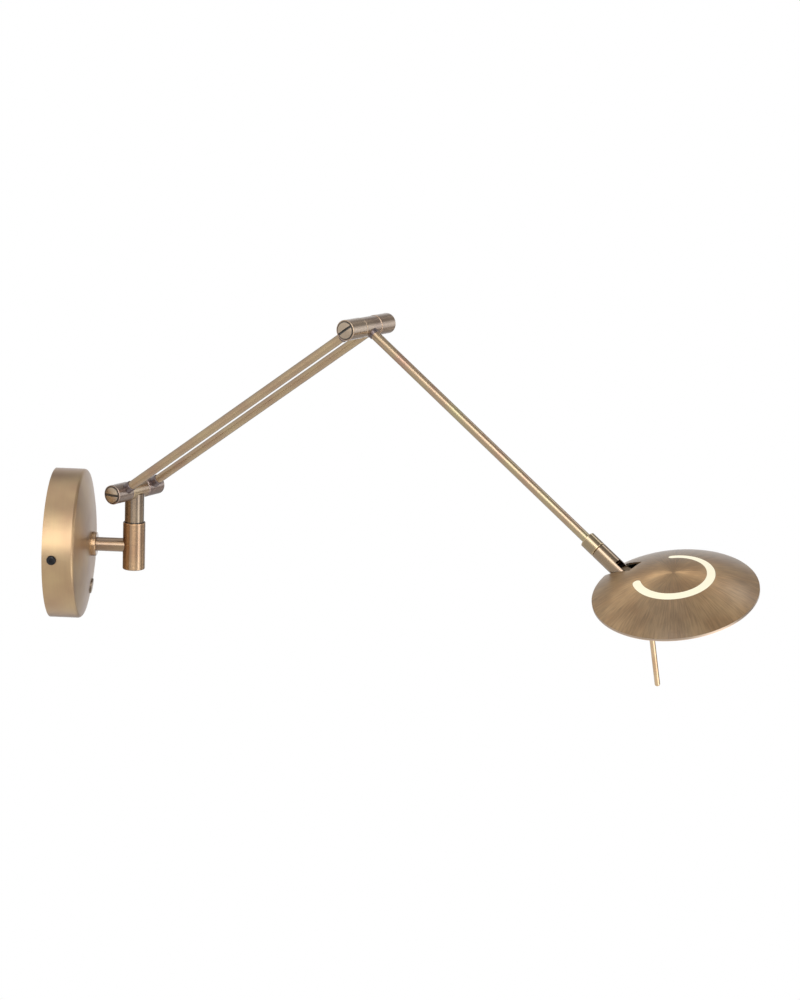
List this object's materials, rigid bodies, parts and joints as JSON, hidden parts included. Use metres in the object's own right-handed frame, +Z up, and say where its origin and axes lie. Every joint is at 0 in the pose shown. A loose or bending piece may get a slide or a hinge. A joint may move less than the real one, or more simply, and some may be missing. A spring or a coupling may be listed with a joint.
{
  "type": "wall reading lamp",
  "caption": "Swing-arm wall reading lamp: round canopy, swivelling twin-rod lower arm, single forearm and a tilting saucer LED head with a glowing C slit and a handle pin.",
  "frame": {"origin": "centre of the canopy on the wall, midway between the two wall screw slots", "axes": "+X out of the wall, +Z up, +Y along the wall"},
  "size_m": [0.5353, 0.3663, 0.2658],
  "materials": {
    "antique_brass": "brushed antique brass",
    "brass_bolt": "turned antique brass",
    "zinc_steel": "zinc plated",
    "black_steel": "black oxide",
    "nylon": "natural nylon",
    "white_case": "moulded",
    "black_case": "moulded",
    "spreader_aluminium": "mill",
    "white_board": "white solder mask",
    "led_package": "phosphor",
    "opal_acrylic": "opal, lit"
  },
  "bodies": {
    "wall_mount": {"wall_bracket": "zinc_steel", "canopy": "antique_brass", "canopy_screws": "black_steel", "earth_screw": "brass_bolt", "led_driver": "white_case", "terminal_block": "white_case", "switch_body": "black_case", "stem": "antique_brass", "stem_washer": "zinc_steel", "stem_nut": "zinc_steel", "swivel_housing": "antique_brass", "swivel_washer": "nylon"},
    "dimmer_button": {"dimmer_button": "antique_brass"},
    "swivel_post": {"swivel_post": "antique_brass", "post_screw": "zinc_steel", "post_spring_washer": "zinc_steel", "lower_knuckle": "antique_brass"},
    "lower_arm": {"near_shoulder_barrel": "antique_brass", "far_shoulder_barrel": "antique_brass", "shoulder_bolt": "brass_bolt", "shoulder_washers": "nylon", "near_rod": "antique_brass", "far_rod": "antique_brass", "near_elbow_barrel": "antique_brass", "far_elbow_barrel": "antique_brass", "elbow_bolt": "brass_bolt", "elbow_washers": "nylon"},
    "forearm": {"elbow_knuckle": "antique_brass", "forearm_rod": "antique_brass", "head_collar": "antique_brass", "swivel_stop_screw": "zinc_steel"},
    "head_swivel": {"head_fork": "antique_brass", "hinge_pin": "zinc_steel"},
    "head": {"head_shell": "antique_brass", "light_strip": "opal_acrylic", "hinge_bracket": "black_steel", "heat_spreader": "spreader_aluminium", "led_board": "white_board", "leds": "led_package", "rim_ring": "antique_brass", "diffuser": "opal_acrylic", "handle_pin": "antique_brass", "spreader_screws": "zinc_steel", "bracket_screws": "zinc_steel"}
  },
  "joints": [
    {"name": "button_press", "type": "slide", "parent": "wall_mount", "child": "dimmer_button", "axis": [-0.9892, -0.0355, 0.1423], "range_m": [0, 0.001], "stiffness_N_per_m": 400},
    {"name": "base_swivel", "type": "hinge", "parent": "wall_mount", "child": "swivel_post", "pos_m": [0.0645, 0, 0], "axis": [0, 0, 1], "range_deg": [-50, 110]},
    {"name": "arm_pitch", "type": "hinge", "parent": "swivel_post", "child": "lower_arm", "pos_m": [0.0645, 0, 0.0458], "axis": [-0.497, -0.8678, 0], "range_deg": [-75, 50]},
    {"name": "elbow_pitch", "type": "hinge", "parent": "lower_arm", "child": "forearm", "pos_m": [0.24973, -0.10608, 0.19806], "axis": [-0.497, -0.8678, 0], "range_deg": [-60, 65]},
    {"name": "head_swivel", "type": "hinge", "parent": "forearm", "child": "head_swivel", "pos_m": [0.4394, -0.21471, 0.04558], "axis": [0.7117, -0.4076, -0.5721], "range_deg": [-114, 66]},
    {"name": "head_tilt", "type": "hinge", "parent": "head_swivel", "child": "head", "pos_m": [0.4394, -0.21471, 0.04558], "axis": [0.6577, 0.6728, 0.3388], "range_deg": [-60, 30]}
  ]
}
